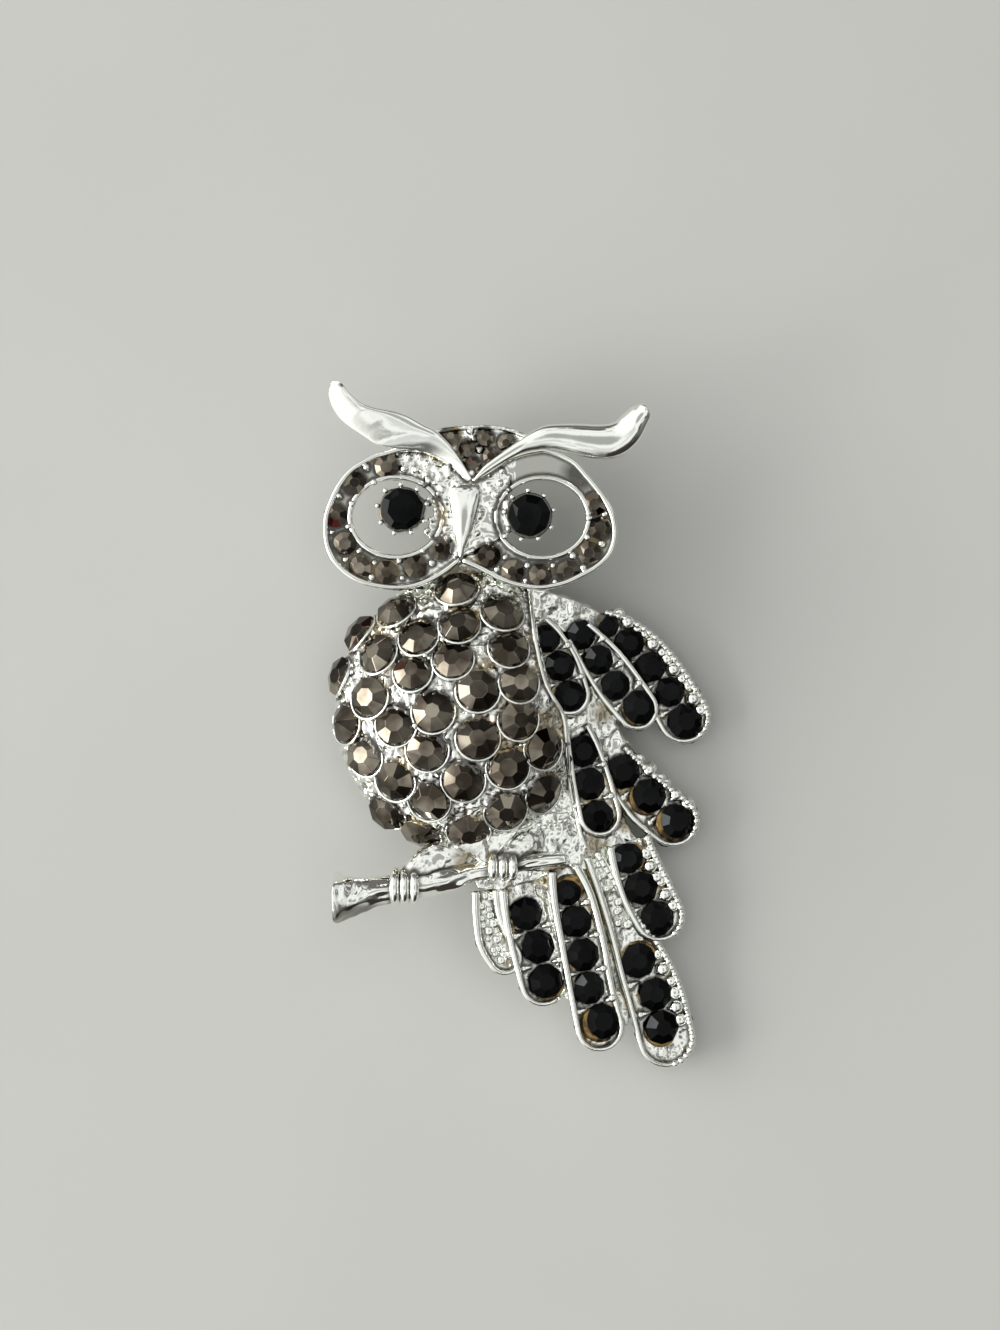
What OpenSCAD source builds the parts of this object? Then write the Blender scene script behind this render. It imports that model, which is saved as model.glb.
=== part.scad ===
// Owl brooch: a cast and soldered metal owl on a branch, set with cut stones.
// It lies on its back. The origin is on the surface below it, at the middle of its outline,
// +Z is the front, +Y points to the owl's head and +X to the viewer's right. Millimetres.

/* [Overall] */
// Height of the outline, from the tail tip to the tip of the left brow tuft
brooch_h = 62.2; // [62:0.1:75]
// Height of the belly's crest above the surface
crest_z = 10.8; // [9.8:0.1:13]
// Height of the clasp, which lifts the back of the body off the surface
clasp_h = 3.6; // [3.2:0.1:4.4]

/* [Metal] */
// Thickness of the feather plates
plate_t = 1.3; // [1.1:0.05:1.8]
// Thickness of the belly's shell
shell_t = 1.25; // [1.1:0.05:1.6]
// Width of the raised rims
rim_w = 0.5; // [0.4:0.05:0.7]
// Height of the raised rims above the bed of a feather or face ring
rim_h = 0.6; // [0.4:0.05:0.9]
// Step between feathers that lie over each other
feather_step = 0.3; // [0.2:0.05:0.45]
// Fall of the wing and tail towards the right, as a slope
wing_slope = 0.25; // [0.2:0.01:0.28]
// Height of the back of the face above the surface
face_back_z = 5.4; // [5:0.1:6]
// Thickness of the face rings
face_t = 2; // [1.6:0.1:2.4]
// Height of an eye cup above its face ring
eye_cup_h = 0.7; // [0.4:0.1:1]
// Height of the middle of the branch above the surface
branch_z = 6.4; // [6:0.1:7]
// Width of one toe
toe_w = 0.8; // [0.6:0.05:0.9]
// Diameter of the beads that hold the eye stones
prong_d = 0.6; // [0.4:0.05:0.8]

/* [Stones] */
// Diameter of the belly stones
belly_stone_d = 3.2; // [2.6:0.05:3.25]
// Diameter of the largest feather stones
feather_stone_d = 3.1; // [2.5:0.05:3.15]
// Diameter of the face ring stones
mask_stone_d = 2.2; // [1.8:0.05:2.25]
// Diameter of the crown stones
crown_stone_d = 1.6; // [1.3:0.05:1.65]
// Diameter of the eye stones
eye_stone_d = 3.9; // [3.4:0.05:4.1]
// Clearance between a stone and its seat
stone_gap = 0.06; // [0.04:0.01:0.08]
// Height of a stone's girdle above its bed
stone_lift = 0.15; // [0.1:0.05:0.3]
// Wall of the cup round a belly or eye stone
cup_wall = 0.28; // [0.2:0.02:0.36]

/* [Clasp] */
// Diameter of the pin stem
stem_d = 0.9; // [0.7:0.05:1.1]
// Width of the joint block and diameter of the catch
clasp_w = 2.4; // [2:0.1:2.8]
// Thickness of the two soldered pads
pad_t = 0.7; // [0.5:0.05:0.9]
// Diameter of the two soldered pads
pad_d = 3.8; // [3.2:0.1:4.2]

/* [Hidden] */
// One hundredth of the height. The tables below are in hundredths of the height.
u = brooch_h / 100;
sides = 8;
ring_angles = [for (i = [0:sides - 1]) 360 * (i + 0.5) / sides];
table_share = 0.56;
crown_share = 0.3;
pavilion_share = 0.58;
// Faces of a closed form with an upper ring, a lower ring and a point below them
stone_faces = concat([[for (i = [sides - 1:-1:0]) i]],
                     [for (i = [0:sides - 1]) [i, (i + 1) % sides, sides + (i + 1) % sides, sides + i]],
                     [for (i = [0:sides - 1]) [sides + i, sides + (i + 1) % sides, 2 * sides]]);
// Depth to which one form of the casting runs into the next
seam = 0.3;
metal = "silver";
black = "#15161a";
smoke = "#5d5552";

function at(p) = [p[0] * u, p[1] * u];
function two(i) = str(i < 9 ? "0" : "", i + 1);

// Belly: four quarter ellipses round the crest. Reach to the left, right, top and bottom.
crest = [-5.6, 2];
belly_reach = [21.2, 15.2, 21.9, 19.9];
belly_rise = crest_z - clasp_h;
function reach_x(dx) = (dx < 0 ? belly_reach[0] : belly_reach[1]) * u;
function reach_y(dy) = (dy < 0 ? belly_reach[3] : belly_reach[2]) * u;
function from_crest(p) = [(p[0] - crest[0]) * u, (p[1] - crest[1]) * u];
function dome_rise(d) = belly_rise * sqrt(1 - pow(d[0] / reach_x(d[0]), 2) - pow(d[1] / reach_y(d[1]), 2));
function dome_normal(d) = [d[0] / pow(reach_x(d[0]), 2), d[1] / pow(reach_y(d[1]), 2),
                           dome_rise(d) / pow(belly_rise, 2)];

// Belly stones: x, y
belly_stones = [
    [-8.9, 20.3], [-17.7, 17.3], [-14.4, 13.4], [-8.5, 15.2], [-2.3, 17.0], [-1.4, 11.8], [-22.9, 13.9],
    [-20.3, 11.0], [-15.2, 8.4], [-9.4, 10.2], [-5.8, 5.7], [0.1, 6.8], [-25.8, 7.6], [-21.5, 4.7],
    [-17.6, 0.8], [-12.2, 2.7], [0.0, 1.5], [-25.0, 1.0], [-22.2, -3.7], [-13.1, -2.8], [-5.8, -1.1],
    [3.6, -2.6], [-1.5, -5.3], [-17.8, -7.3], [-7.9, -7.2], [3.7, -9.2], [-12.9, -10.2], [-19.0, -11.9],
    [-1.8, -11.7], [-14.2, -15.0], [-7.2, -14.8]];

// Edge of the belly along the wing: x, y
belly_edge = [[1.6, 20.5], [2.0, 18.6], [2.6, 13], [4.2, 6.5], [6.6, 2.2], [7.2, -2.3], [7.9, -9],
              [9.2, -14.6], [10.2, -17.6]];

// Feathers. Level above the wing, then sections with x, y, half width,
// then stones with x, y and the share of the largest feather stone.
feathers = [
    [3, [[3.2, 15.6, 1.3], [4.5, 13.2, 2.2], [6.1, 9.5, 2.9], [7.5, 5.0, 3.1]],
        [[4.1, 13.2, 0.82], [6.1, 9.2, 0.87], [7.5, 4.7, 0.93]]],
    [2, [[8.8, 14.2, 2.2], [12.0, 10.2, 3.1], [14.6, 6.6, 3.4], [17.5, 2.9, 3.2]],
        [[9.2, 13.7, 0.84], [11.8, 10.1, 0.85], [14.3, 6.4, 0.84], [17.9, 3.2, 0.98]]],
    [0, [[12.0, 15.9, 1.8], [15.2, 13.9, 2.8], [18.6, 10.8, 3.4], [21.5, 6.7, 3.8], [24.5, 1.7, 4.0]],
        [[13.0, 15.2, 0.74], [16.4, 12.6, 0.86], [19.6, 9.1, 0.88], [22.4, 5.4, 0.86], [24.7, 1.0, 1]]],
    [2, [[8.6, 0.1, 1.9], [9.6, -3.1, 2.5], [10.8, -7.7, 3.0], [12.0, -12.6, 3.2]],
        [[9.5, -3.2, 0.91], [10.4, -8.0, 0.94], [11.7, -12.9, 0.95]]],
    [0, [[14.2, -3.4, 2.0], [16.1, -7.0, 3.2], [19.3, -10.7, 3.8], [22.9, -13.6, 3.9]],
        [[15.4, -6.3, 1], [19.3, -9.9, 1], [23.4, -13.7, 1]]],
    [1, [[16.2, -16.5, 3.2], [17.4, -20.3, 3.6], [19.0, -24.1, 3.9], [20.8, -27.6, 3.8]],
        [[16.1, -19.0, 0.88], [18.1, -23.4, 0.95], [20.5, -27.9, 1]]],
    [0, [[10.8, -18.4, 1.2], [13.2, -23.5, 1.8], [15.5, -28.6, 2.5], [18.2, -34.1, 3.8],
         [20.3, -39.6, 4.3], [21.9, -45.7, 4.3]],
        [[17.7, -34.1, 1], [20.2, -39.1, 0.95], [21.2, -44.0, 0.98]]],
    [2, [[6.6, -20.3, 2.2], [8.0, -25.0, 3.1], [9.5, -31.6, 3.4], [10.7, -38.1, 3.4], [12.0, -43.7, 3.6]],
        [[7.2, -23.8, 0.78], [8.5, -28.1, 0.9], [9.5, -33.0, 0.95], [10.4, -37.9, 0.92], [12.4, -42.8, 1]]],
    [1, [[-0.4, -22.8, 2.3], [0.9, -26.9, 3.1], [2.2, -31.6, 3.4], [3.7, -37.0, 3.5]],
        [[1.2, -26.9, 0.93], [2.9, -31.7, 0.97], [4.1, -36.8, 0.97]]],
    [0, [[-4.7, -23.5, 1.9], [-4.4, -27.2, 2.1], [-3.5, -30.8, 2.5], [-1.9, -33.3, 2.6]], []]];
wing_edge_x = 28.5 * u;
stoned_feathers = [for (i = [0:len(feathers) - 1]) if (len(feathers[i][2]) > 0) i];

// Plate that joins the feathers, under the shoulder and the lower belly: x, y
web = [[0, 17.5], [2.0, 19.5], [6.1, 19.7], [10.5, 18.0], [17.8, 5.7], [14.2, 1.0], [16.7, -2.3],
       [17.8, -6.0], [14.9, -11.8], [17.8, -17.0], [17.8, -20.6], [13.4, -25.0], [10.5, -20.6], [6.1, -21],
       [-2.6, -23.5], [-5.6, -23.2], [-7.0, -20.6], [-2, -16], [-1, 0]];

// Face: ring outline circles and the point below the beak, eye stones and ring openings
ring_centres = [[-18.4, 30.3], [4.1, 30.0]];
ring_r = [9.9, 9.9];
face_point = [-8.3, 24.4];
openings = [[-17.7, 30.8], [3.5, 30.7]];
opening_half = [6.6, 5.6];
eyes = [[-16.8, 31.9], [1.6, 31.0]];
bridge_r = 1.6;
mask_stones = [
    [[-19.1, 38.1], [-23.7, 35.7], [-26.5, 31.0], [-25.1, 27.0], [-22.9, 23.5], [-19.1, 22.8], [-14.9, 23.6],
     [-11.3, 26.3]],
    [[11.1, 32.7], [11.9, 29.2], [10.3, 25.6], [7.2, 22.9], [3.2, 22.4], [-0.8, 22.9], [-4.2, 25.2]]];
// Beak: x, y, radius
beak = [[-7.6, 33.4, 1.9], [-8.1, 29, 1.3], [-8.3, 25.4, 0.6]];

// Brow tufts: x, y, radius, and the share of the way up from the face to the crest
left_brow = [[-6.9, 36.5, 0.5, 0], [-10.6, 40.6, 1.4, 0.2], [-13.6, 42.3, 2.1, 0.35], [-17.5, 43.2, 2.45, 0.5],
             [-21.2, 44.4, 2.3, 0.6], [-24.0, 46.4, 1.8, 0.8], [-25.6, 48.8, 1.3, 0.95]];
right_brow = [[-6.3, 36.5, 0.5, 0], [-3.3, 38.8, 0.8, 0.2], [0.4, 40.8, 1.0, 0.35], [3.9, 41.8, 1.5, 0.45],
              [8.3, 41.8, 2.2, 0.5], [12.6, 41.6, 2.6, 0.6], [16.0, 42.5, 2.5, 0.8], [18.3, 44.5, 1.7, 0.95]];
// Crown between the tufts: outline, then stones
crown = [[-13, 43.2], [-9.2, 43.8], [-3.4, 44.0], [1.5, 42.5], [4, 41.2], [-6.6, 36.0]];
crown_stones = [[-9.8, 42.5], [-7.4, 40.7], [-4.8, 42.3], [-1.8, 41.6], [-3.9, 39.7], [-6.5, 38.3]];

// Branch: x, y, radius
branch = [[-26.7, -24.6, 3.5], [-26.0, -24.5, 3.6], [-24.0, -24.4, 2.7], [-21.3, -24.0, 2.0],
          [-18.4, -23.5, 1.8], [-14.6, -22.9, 1.75], [-11.4, -22.4, 1.6], [-7.7, -21.8, 1.3],
          [-2.6, -21.5, 1.4], [3.2, -21.2, 1.4], [7.0, -20.9, 1.0]];
// Feet: x, y and radius of the grip
feet = [[-16.4, -23.3, 2.75], [-2.3, -20.0, 2.45]];
// Legs: two ends each with x, y, radius
legs = [[[-10.7, -17.9, 2.2], [-15.8, -20.4, 1.9]], [[1.6, -15.6, 2.9], [-2.0, -18.6, 2.3]]];

// Clasp: the two places where it is soldered to the back
clasp_ends = [[-8.9, 21.6], [-8.9, -19.6]];
seat_h = 3 * stone_lift + crown_share * eye_stone_d;

// A cut stone with its girdle at z = 0: a table, and as many crown and pavilion facets as sides
module cut_stone(d) {
    r = d / 2;
    points = concat([for (a = ring_angles) [table_share * r * cos(a), table_share * r * sin(a), crown_share * r]],
                    [for (a = ring_angles) [r * cos(a), r * sin(a), 0]],
                    [[0, 0, -pavilion_share * r]]);
    polyhedron(points, stone_faces);
}

// What is cut away for a stone: its pavilion and a straight way up, both with the clearance
module seat(d) {
    grown = d + 2 * stone_gap;
    deep = pavilion_share / 2 * d + stone_gap;
    rotate([0, 0, 180 / sides]) {
        cylinder(d = grown, h = seat_h, $fn = sides);
        translate([0, 0, -deep]) cylinder(d1 = 0, d2 = grown, h = deep, $fn = sides);
    }
}

// Turns +Z to a direction without turning the children round it
module face_along(v) {
    turn = atan2(v[1], v[0]);
    rotate([0, 0, turn]) rotate([0, acos(v[2] / norm(v)), 0]) rotate([0, 0, -turn]) children();
}

module on_belly(p) {
    d = from_crest(p);
    translate([p[0] * u, p[1] * u, clasp_h + dome_rise(d)]) face_along(dome_normal(d)) children();
}

module on_feather(level, p) {
    z = plate_t + level * feather_step + wing_slope * (wing_edge_x - p[0] * u);
    translate([p[0] * u, p[1] * u, z]) rotate([0, atan(wing_slope), 0]) children();
}

module on_face(p, lift = 0) translate([p[0] * u, p[1] * u, face_back_z + face_t + lift]) children();

// Lets a flat form fall to the right with the wing, with its back on the wing's back
module along_wing() multmatrix([[1, 0, 0, 0], [0, 1, 0, 0], [-wing_slope, 0, 1, wing_slope * wing_edge_x]]) children();

// A solid dome with the belly's outline, drawn in by an inset. Every other ring is turned by half a slice.
module dome(inset, rings, slices) {
    points = concat([[crest[0] * u, crest[1] * u, crest_z - inset]],
        [for (i = [1:rings], j = [0:slices - 1])
            let (a = 360 * (j + (i % 2) / 2) / slices, out = sin(90 * i / rings), dx = cos(a), dy = sin(a))
            [crest[0] * u + (reach_x(dx) - inset) * out * dx, crest[1] * u + (reach_y(dy) - inset) * out * dy,
             clasp_h + (belly_rise - inset) * cos(90 * i / rings)]]);
    faces = concat([for (j = [0:slices - 1]) [0, 1 + (j + 1) % slices, 1 + j]],
        [for (i = [0:rings - 2], j = [0:slices - 1])
            let (up = 1 + i * slices, low = up + slices, next = (j + 1) % slices)
            each i % 2 == 0 ? [[up + j, low + next, low + j], [up + j, up + next, low + next]]
                            : [[up + j, up + next, low + j], [up + next, low + next, low + j]]],
        [[for (j = [0:slices - 1]) 1 + (rings - 1) * slices + j]]);
    polyhedron(points, faces);
}

// A chain of balls joined by hulls, through points in millimetres with a radius
module ball_chain(points, fn) {
    for (i = [0:len(points) - 2])
        hull() for (k = [i, i + 1])
            translate([points[k][0], points[k][1], points[k][2]]) sphere(r = points[k][3], $fn = fn);
}

module belly() {
    intersection() {
        difference() {
            dome(0, 8, 32);
            translate([0, 0, -0.01]) dome(shell_t, 6, 24);
        }
        linear_extrude(crest_z)
            polygon([for (p = concat([[-60, 40], [1.6, 40]], belly_edge, [[10.2, -40], [-60, -40]]))
                [p[0] * u - rim_w / 4, p[1] * u]]);
    }
    for (p = belly_stones) on_belly(p) cup(belly_stone_d);
    ball_chain([for (p = belly_edge) [p[0] * u, p[1] * u,
        clasp_h + belly_rise * sqrt(max(0.12, 1 - pow((p[0] - crest[0]) / belly_reach[1], 2)
                                       - pow((p[1] - crest[1]) / (p[1] < crest[1] ? belly_reach[3] : belly_reach[2]), 2))),
        rim_w * 0.7]], 8);
}

// The scale below a belly stone: a cup that leans out on its lower side
module cup(d) {
    low = 2 * seam;
    multmatrix([[1, 0, 0, 0], [0, 1, cup_wall / low, 0], [0, 0, 1, 0]]) rotate([0, 0, 180 / sides])
        translate([0, 0, -low]) cylinder(r = d / 2 + stone_gap + cup_wall, h = low + 1.5 * stone_lift, $fn = sides);
}

module feather_outline(sections) {
    for (i = [0:len(sections) - 2])
        hull() for (k = [i, i + 1]) translate(at(sections[k])) circle(r = sections[k][2] * u, $fn = 12);
}

// A trough with a raised rim, open at its root
module feather(level, sections) {
    bed = plate_t + level * feather_step;
    along_wing() difference() {
        linear_extrude(bed + rim_h) feather_outline(sections);
        translate([0, 0, bed]) linear_extrude(rim_h + 1) {
            offset(delta = -rim_w) feather_outline(sections);
            translate(at(sections[0])) circle(r = sections[0][2] * u + rim_w, $fn = 12);
        }
    }
}

module ring_outline(i, grow) {
    hull() {
        translate(at(ring_centres[i])) circle(r = ring_r[i] * u + grow, $fn = 24);
        translate(at(face_point)) circle(r = rim_w + grow, $fn = 8);
    }
}

module ring_opening(i, grow) {
    translate(at(openings[i])) scale([opening_half[0] * u + grow, opening_half[1] * u + grow]) circle(r = 1, $fn = 18);
}

module face() {
    translate([0, 0, face_back_z]) {
        linear_extrude(face_t) difference() {
            for (i = [0, 1]) ring_outline(i, 0);
            for (i = [0, 1]) ring_opening(i, 0);
        }
        translate([0, 0, seam]) for (p = eyes) hull() {
            translate(at(p)) cylinder(r = bridge_r * u, h = face_t - 2 * seam, $fn = 8);
            translate(at([face_point[0], p[1] + 0.4])) cylinder(r = bridge_r * u, h = face_t - 2 * seam, $fn = 8);
        }
        translate([0, 0, face_t - seam]) linear_extrude(rim_h + seam) for (i = [0, 1]) {
            difference() {
                ring_outline(i, 0);
                ring_outline(i, -rim_w);
            }
            difference() {
                ring_opening(i, rim_w);
                ring_opening(i, 0);
            }
        }
        for (p = eyes) eye_cup(p);
    }
    ball_chain([for (b = beak) [b[0] * u, b[1] * u, face_back_z + face_t + rim_h, b[2] * u]], 10);
}

module eye_cup(p) {
    r = eye_stone_d / 2 + stone_gap + cup_wall;
    translate(at(p)) {
        translate([0, 0, seam / 2]) cylinder(r = r, h = face_t + eye_cup_h - seam / 2, $fn = 16);
        for (i = [0:8]) rotate([0, 0, 40 * i])
            translate([r, 0, face_t + eye_cup_h]) sphere(d = prong_d, $fn = 6);
    }
}

module brow(sections) {
    low = face_back_z + face_t + rim_h;
    ball_chain([for (s = sections) [s[0] * u, s[1] * u, low + s[3] * (crest_z - low) * 0.45, s[2] * u]], 8);
}

// Web behind the tufts that carries them on the face rings
module forehead() {
    translate([0, 0, face_back_z + seam / 3]) linear_extrude(face_t - seam / 2) difference() {
        union() {
            for (row = [left_brow, right_brow], i = [0:4]) hull() for (k = [i, i + 1])
                translate([row[k][0] * u, (row[k][1] - 0.9) * u]) circle(r = 1.2 * u, $fn = 8);
            hull() for (p = [[-6.6, 37.3, 1.4], [-7.3, 32, 2.6]]) translate(at(p)) circle(r = p[2] * u, $fn = 10);
        }
        for (i = [0, 1]) ring_opening(i, rim_w / 2);
    }
}

module crown_plate() {
    translate([0, 0, face_back_z + seam]) linear_extrude(face_t - 1.5 * seam) polygon([for (p = crown) at(p)]);
    ball_chain([for (i = [0:4]) [crown[i][0] * u, crown[i][1] * u - rim_w / 4, face_back_z + face_t, rim_w * 0.6]], 7);
}

module branch_and_feet() {
    for (i = [0:len(branch) - 2])
        hull() for (k = [i, i + 1])
            translate([branch[k][0] * u, branch[k][1] * u, branch_z]) rotate([0, 90, 0])
                cylinder(r = branch[k][2] * u, h = 0.05, $fn = 10);
    for (foot = feet, toe = [-1, 0, 1])
        translate([foot[0] * u + toe * toe_w, foot[1] * u, branch_z]) rotate([0, 90, 0])
            for (side = [0, 1]) mirror([0, 0, side])
                cylinder(r1 = foot[2] * u, r2 = foot[2] * u * 0.84, h = toe_w * 0.46, $fn = 10);
    for (leg = legs)
        ball_chain([for (e = leg) [e[0] * u, e[1] * u, branch_z, e[2] * u]], 10);
}

// Blocks behind the throat and the legs, flush with the belly's edge, that the clasp is soldered to
module solder_blocks() {
    for (p = clasp_ends) translate([p[0] * u, p[1] * u, clasp_h])
        cylinder(d = pad_d + 2 * rim_w, h = branch_z - clasp_h + 0.4, $fn = 16);
}

module shoulder() {
    ball_chain([[3.2 * u, 19.6 * u, face_back_z + 0.5, 2.6 * u], [9.5 * u, 17.6 * u, face_back_z - 0.9, 1.6 * u]], 10);
    along_wing() linear_extrude(plate_t) polygon([for (p = web) at(p)]);
}

module all_seats() {
    for (p = belly_stones) on_belly(p) translate([0, 0, stone_lift]) seat(belly_stone_d);
    for (f = feathers, s = f[2]) on_feather(f[0], s) translate([0, 0, stone_lift]) seat(feather_stone_d * s[2]);
    for (row = mask_stones, p = row) on_face(p, stone_lift) seat(mask_stone_d);
    for (p = crown_stones) on_face(p, stone_lift) seat(crown_stone_d);
    for (p = eyes) on_face(p, eye_cup_h + stone_lift) seat(eye_stone_d);
}

module casting() {
    color(metal) difference() {
        union() {
            belly();
            for (f = feathers) feather(f[0], f[1]);
            shoulder();
            face();
            brow(left_brow);
            brow(right_brow);
            forehead();
            crown_plate();
            branch_and_feet();
            solder_blocks();
        }
        all_seats();
    }
}

module clasp() {
    color(metal) for (i = [0, 1]) translate([clasp_ends[i][0] * u, clasp_ends[i][1] * u, 0]) {
        translate([0, 0, clasp_h - pad_t]) cylinder(d = pad_d, h = pad_t, $fn = 48);
        if (i == 0) translate([-clasp_w / 2, -clasp_w / 2, 0]) cube([clasp_w, clasp_w, clasp_h - pad_t]);
        if (i == 1) {
            translate([0, clasp_w / 2, clasp_w / 2]) rotate([90, 0, 0]) cylinder(d = clasp_w, h = clasp_w, $fn = 48);
            translate([-clasp_w / 4, -clasp_w / 2, clasp_w / 2])
                cube([clasp_w / 2, clasp_w, clasp_h - pad_t - clasp_w / 2]);
        }
    }
    color(metal) translate([clasp_ends[1][0] * u, clasp_ends[1][1] * u, clasp_w / 2]) rotate([-90, 0, 0])
        cylinder(d = stem_d, h = (clasp_ends[0][1] - clasp_ends[1][1]) * u, $fn = 24);
}

module belly_stone(i) color(smoke) on_belly(belly_stones[i]) translate([0, 0, stone_lift]) cut_stone(belly_stone_d);

module eye_stone(i) color(black) on_face(eyes[i], eye_cup_h + stone_lift) cut_stone(eye_stone_d);

module mask_row(i) color(smoke) for (p = mask_stones[i]) on_face(p, stone_lift) cut_stone(mask_stone_d);

module crown_row() color(smoke) for (p = crown_stones) on_face(p, stone_lift) cut_stone(crown_stone_d);

module feather_row(i) {
    color(black) for (s = feathers[i][2])
        on_feather(feathers[i][0], s) translate([0, 0, stone_lift]) cut_stone(feather_stone_d * s[2]);
}

casting();
clasp();
eye_stone(0);  // eye_stone_left
eye_stone(1);  // eye_stone_right
for (i = [0:len(belly_stones) - 1]) belly_stone(i);
mask_row(0);  // mask_stones_left
mask_row(1);  // mask_stones_right
crown_row();  // crown_stones
for (i = stoned_feathers) feather_row(i);
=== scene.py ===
import random
from math import atan2, cos, log, pi, radians, sin, sqrt, tan, tau

import bmesh
import bpy
from mathutils import Matrix, Vector, bvhtree, geometry, noise


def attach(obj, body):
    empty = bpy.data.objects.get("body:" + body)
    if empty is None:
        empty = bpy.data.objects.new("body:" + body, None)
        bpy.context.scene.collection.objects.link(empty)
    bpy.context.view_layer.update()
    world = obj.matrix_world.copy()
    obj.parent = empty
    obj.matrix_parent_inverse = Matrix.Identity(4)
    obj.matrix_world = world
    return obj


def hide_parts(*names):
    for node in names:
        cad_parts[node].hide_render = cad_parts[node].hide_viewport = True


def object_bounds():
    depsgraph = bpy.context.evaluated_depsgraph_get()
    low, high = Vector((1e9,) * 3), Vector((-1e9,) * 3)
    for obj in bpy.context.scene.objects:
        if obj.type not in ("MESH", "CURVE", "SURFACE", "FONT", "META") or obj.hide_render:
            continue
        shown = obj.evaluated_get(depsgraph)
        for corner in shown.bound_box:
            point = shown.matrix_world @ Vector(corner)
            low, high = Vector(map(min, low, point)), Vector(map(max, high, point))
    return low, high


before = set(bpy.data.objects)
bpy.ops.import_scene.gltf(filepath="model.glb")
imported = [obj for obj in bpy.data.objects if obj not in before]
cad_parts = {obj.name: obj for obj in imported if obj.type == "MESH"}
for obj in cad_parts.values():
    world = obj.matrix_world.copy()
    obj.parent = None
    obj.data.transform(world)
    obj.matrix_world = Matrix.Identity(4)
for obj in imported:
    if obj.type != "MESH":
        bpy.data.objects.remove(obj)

# Table, light and camera
# The brooch lies face up on a plain off-white table top, lit by a window on the left
# and by the pale walls of a cluttered room. The camera looks straight down.
box_at_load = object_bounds()
VALUE, COLOUR = "NodeSocketFloat", "NodeSocketColor"

table_mesh = bpy.data.meshes.new("table_top")
far = 12
table_mesh.from_pydata([(-far, -far, 0), (far, -far, 0), (far, far, 0), (-far, far, 0)], [], [(0, 1, 2, 3)])
table = bpy.data.objects.new("table_top", table_mesh)
bpy.context.collection.objects.link(table)


def feed(node, inputs):
    """Sets a node's inputs, or links them to the outputs of other nodes"""
    for name, value in inputs.items():
        if isinstance(value, bpy.types.NodeSocket):
            node.id_data.links.new(value, node.inputs[name])
        else:
            node.inputs[name].default_value = value


def add_node(tree, kind, inputs, **settings):
    """A new node with its settings and its inputs"""
    node = tree.nodes.new(kind)
    for name, value in settings.items():
        setattr(node, name, value)
    feed(node, inputs)
    return node


def calculated(tree, operation, a, b=0):
    """A sum, product or the like"""
    return add_node(tree, "ShaderNodeMath", {0: a, 1: b}, operation=operation).outputs[0]


def between(tree, value, start, end, low=0, high=1, kind="LINEAR"):
    """low to high, as a value goes from start to end"""
    limits = {"Value": value, "From Min": start, "From Max": end, "To Min": low, "To Max": high}
    return add_node(tree, "ShaderNodeMapRange", limits, interpolation_type=kind).outputs["Result"]


def blended(tree, share, under, over):
    """A colour with a share of another laid over it"""
    colours = {"Factor": share, "A": under, "B": over}
    return add_node(tree, "ShaderNodeMix", colours, data_type="RGBA").outputs["Result"]


def clouds(tree, where, scale, detail):
    """Noise with a scale (per metre)"""
    values = {"Vector": where, "Scale": scale, "Detail": detail}
    return add_node(tree, "ShaderNodeTexNoise", values).outputs["Fac"]


def node_group(name, inputs, outputs):
    """A shader node group with named sockets: its tree, what it is given and the node it ends in"""
    tree = bpy.data.node_groups.new(name, "ShaderNodeTree")
    for in_out, sockets in (("INPUT", inputs), ("OUTPUT", outputs)):
        for socket, kind in sockets:
            tree.interface.new_socket(socket, in_out=in_out, socket_type=kind)
    return tree, tree.nodes.new("NodeGroupInput").outputs, tree.nodes.new("NodeGroupOutput")


def new_material(name):
    """A material, its node tree and its shader"""
    material = bpy.data.materials.new(name)
    material.use_nodes = True
    return material, material.node_tree, material.node_tree.nodes["Principled BSDF"]


cloudy, given, out = node_group(
    "cloudy_tone", [("Scale", VALUE), ("Detail", VALUE), ("Low", VALUE), ("High", VALUE),
                    ("Dark", COLOUR), ("Light", COLOUR)], [("Color", COLOUR)])
where = cloudy.nodes.new("ShaderNodeTexCoord").outputs["Object"]
share = between(cloudy, clouds(cloudy, where, given["Scale"], given["Detail"]), given["Low"], given["High"])
feed(out, {"Color": blended(cloudy, share, given["Dark"], given["Light"])})


def cloudy_tone(tree, scale, low, high, dark, light, detail=2):
    """A tone that drifts from dark to light, as noise goes from low to high"""
    values = {"Scale": scale, "Detail": detail, "Low": low, "High": high, "Dark": dark, "Light": light}
    return add_node(tree, "ShaderNodeGroup", values, node_tree=cloudy).outputs["Color"]


paper, tree, shader = new_material("off_white_table")
smudges = cloudy_tone(tree, 26, 0.3, 0.7, (0.528, 0.533, 0.514, 1), (0.548, 0.553, 0.534, 1), detail=3)
feed(shader, {"Base Color": smudges, "Roughness": 0.8, "Specular IOR Level": 0.1})
table_mesh.materials.append(paper)


def softbox(name, place, aim, size, watts, tint):
    """A plain rectangular lamp"""
    lamp = bpy.data.lights.new(name, "AREA")
    lamp.shape = "RECTANGLE"
    lamp.size, lamp.size_y = size
    lamp.energy = watts
    lamp.color = tint
    holder = bpy.data.objects.new(name, lamp)
    holder.location = place
    holder.rotation_euler = (Vector(aim) - Vector(place)).to_track_quat("-Z", "Y").to_euler()
    bpy.context.collection.objects.link(holder)


softbox("window", (-0.76, 0, 0.3), (0, 0, 0.004), (0.9, 0.34), 6.2, (1, 0.99, 0.96))
softbox("low_window", (-0.7, -0.25, 0.2), (0, 0, 0.004), (0.2, 0.36), 1, (1, 0.97, 0.92))

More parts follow.
